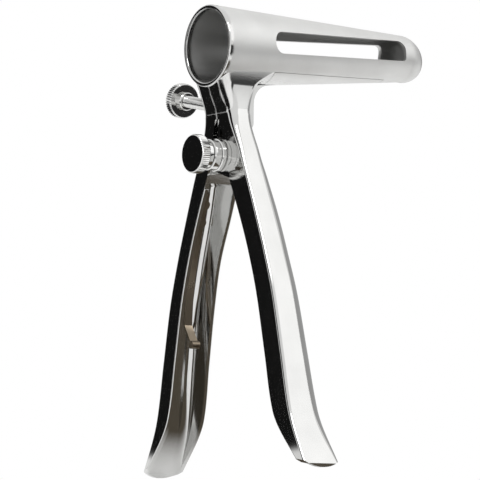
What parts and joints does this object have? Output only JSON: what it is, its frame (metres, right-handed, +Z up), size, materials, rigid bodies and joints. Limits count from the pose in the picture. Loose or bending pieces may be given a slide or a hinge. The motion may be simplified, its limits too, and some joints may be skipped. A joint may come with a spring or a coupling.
{
  "type": "anal speculum",
  "caption": "Lever-type rectal speculum with windowed side blades, a narrow centre blade, channel handles, a pivot thumb nut and a spread screw.",
  "frame": {"origin": "centre of the pivot knob's flat outer face, on the pivot axis", "axes": "+X from the mouth to the nose, along the pivot axis and the blades; +Z up from the handles to the blades; +Y towards the lever that carries the spread screw"},
  "size_m": [0.0978, 0.1004, 0.1623],
  "materials": {
    "lever_steel": "satin blades, mirror-polished necks and handles",
    "polished_steel": "mirror polish",
    "spring_steel": "dull spring strip"
  },
  "bodies": {
    "centre": {"centre_blade": "lever_steel", "pivot_pin": "polished_steel", "rear_washer": "polished_steel", "pivot_nut": "polished_steel", "front_washer": "polished_steel"},
    "near": {"near_lever": "lever_steel"},
    "far": {"far_lever": "lever_steel", "handle_spring": "spring_steel", "spring_rivets": "polished_steel"},
    "knob_spacer": {"pivot_spacer": "polished_steel"},
    "knob": {"pivot_knob": "polished_steel"},
    "screw": {"spread_screw_shank": "polished_steel"},
    "screw_knob": {"spread_screw_head": "polished_steel"}
  },
  "joints": [
    {"name": "near_lever_swing", "type": "hinge", "parent": "centre", "child": "near", "pos_m": [0, 0, 0], "axis": [1, 0, 0], "range_deg": [0, 18]},
    {"name": "far_lever_swing", "type": "hinge", "parent": "centre", "child": "far", "pos_m": [0, 0, 0], "axis": [1, 0, 0], "range_deg": [-18, 0]},
    {"name": "pivot_knob_travel", "type": "slide", "parent": "centre", "child": "knob_spacer", "axis": [-1, 0, 0], "range_m": [0, 0.00145]},
    {"name": "pivot_knob_turn", "type": "hinge", "parent": "knob_spacer", "child": "knob", "pos_m": [0, 0, 0], "axis": [-1, 0, 0], "range_deg": [0, 720]},
    {"name": "spread_screw_feed", "type": "slide", "parent": "far", "child": "screw", "axis": [0, -0.9781, -0.2079], "range_m": [0, 0.0102]},
    {"name": "spread_screw_turn", "type": "hinge", "parent": "screw", "child": "screw_knob", "pos_m": [0.0158, 0, 0.0165], "axis": [0, -0.9781, -0.2079], "continuous": true}
  ],
  "couplings": [
    {"joint": "far_lever_swing", "follows": "near_lever_swing", "ratio": -1},
    {"joint": "pivot_knob_travel", "follows": "pivot_knob_turn", "m_per_rad": 0.00011141},
    {"joint": "spread_screw_feed", "follows": "near_lever_swing", "m_per_rad": 0.032}
  ]
}
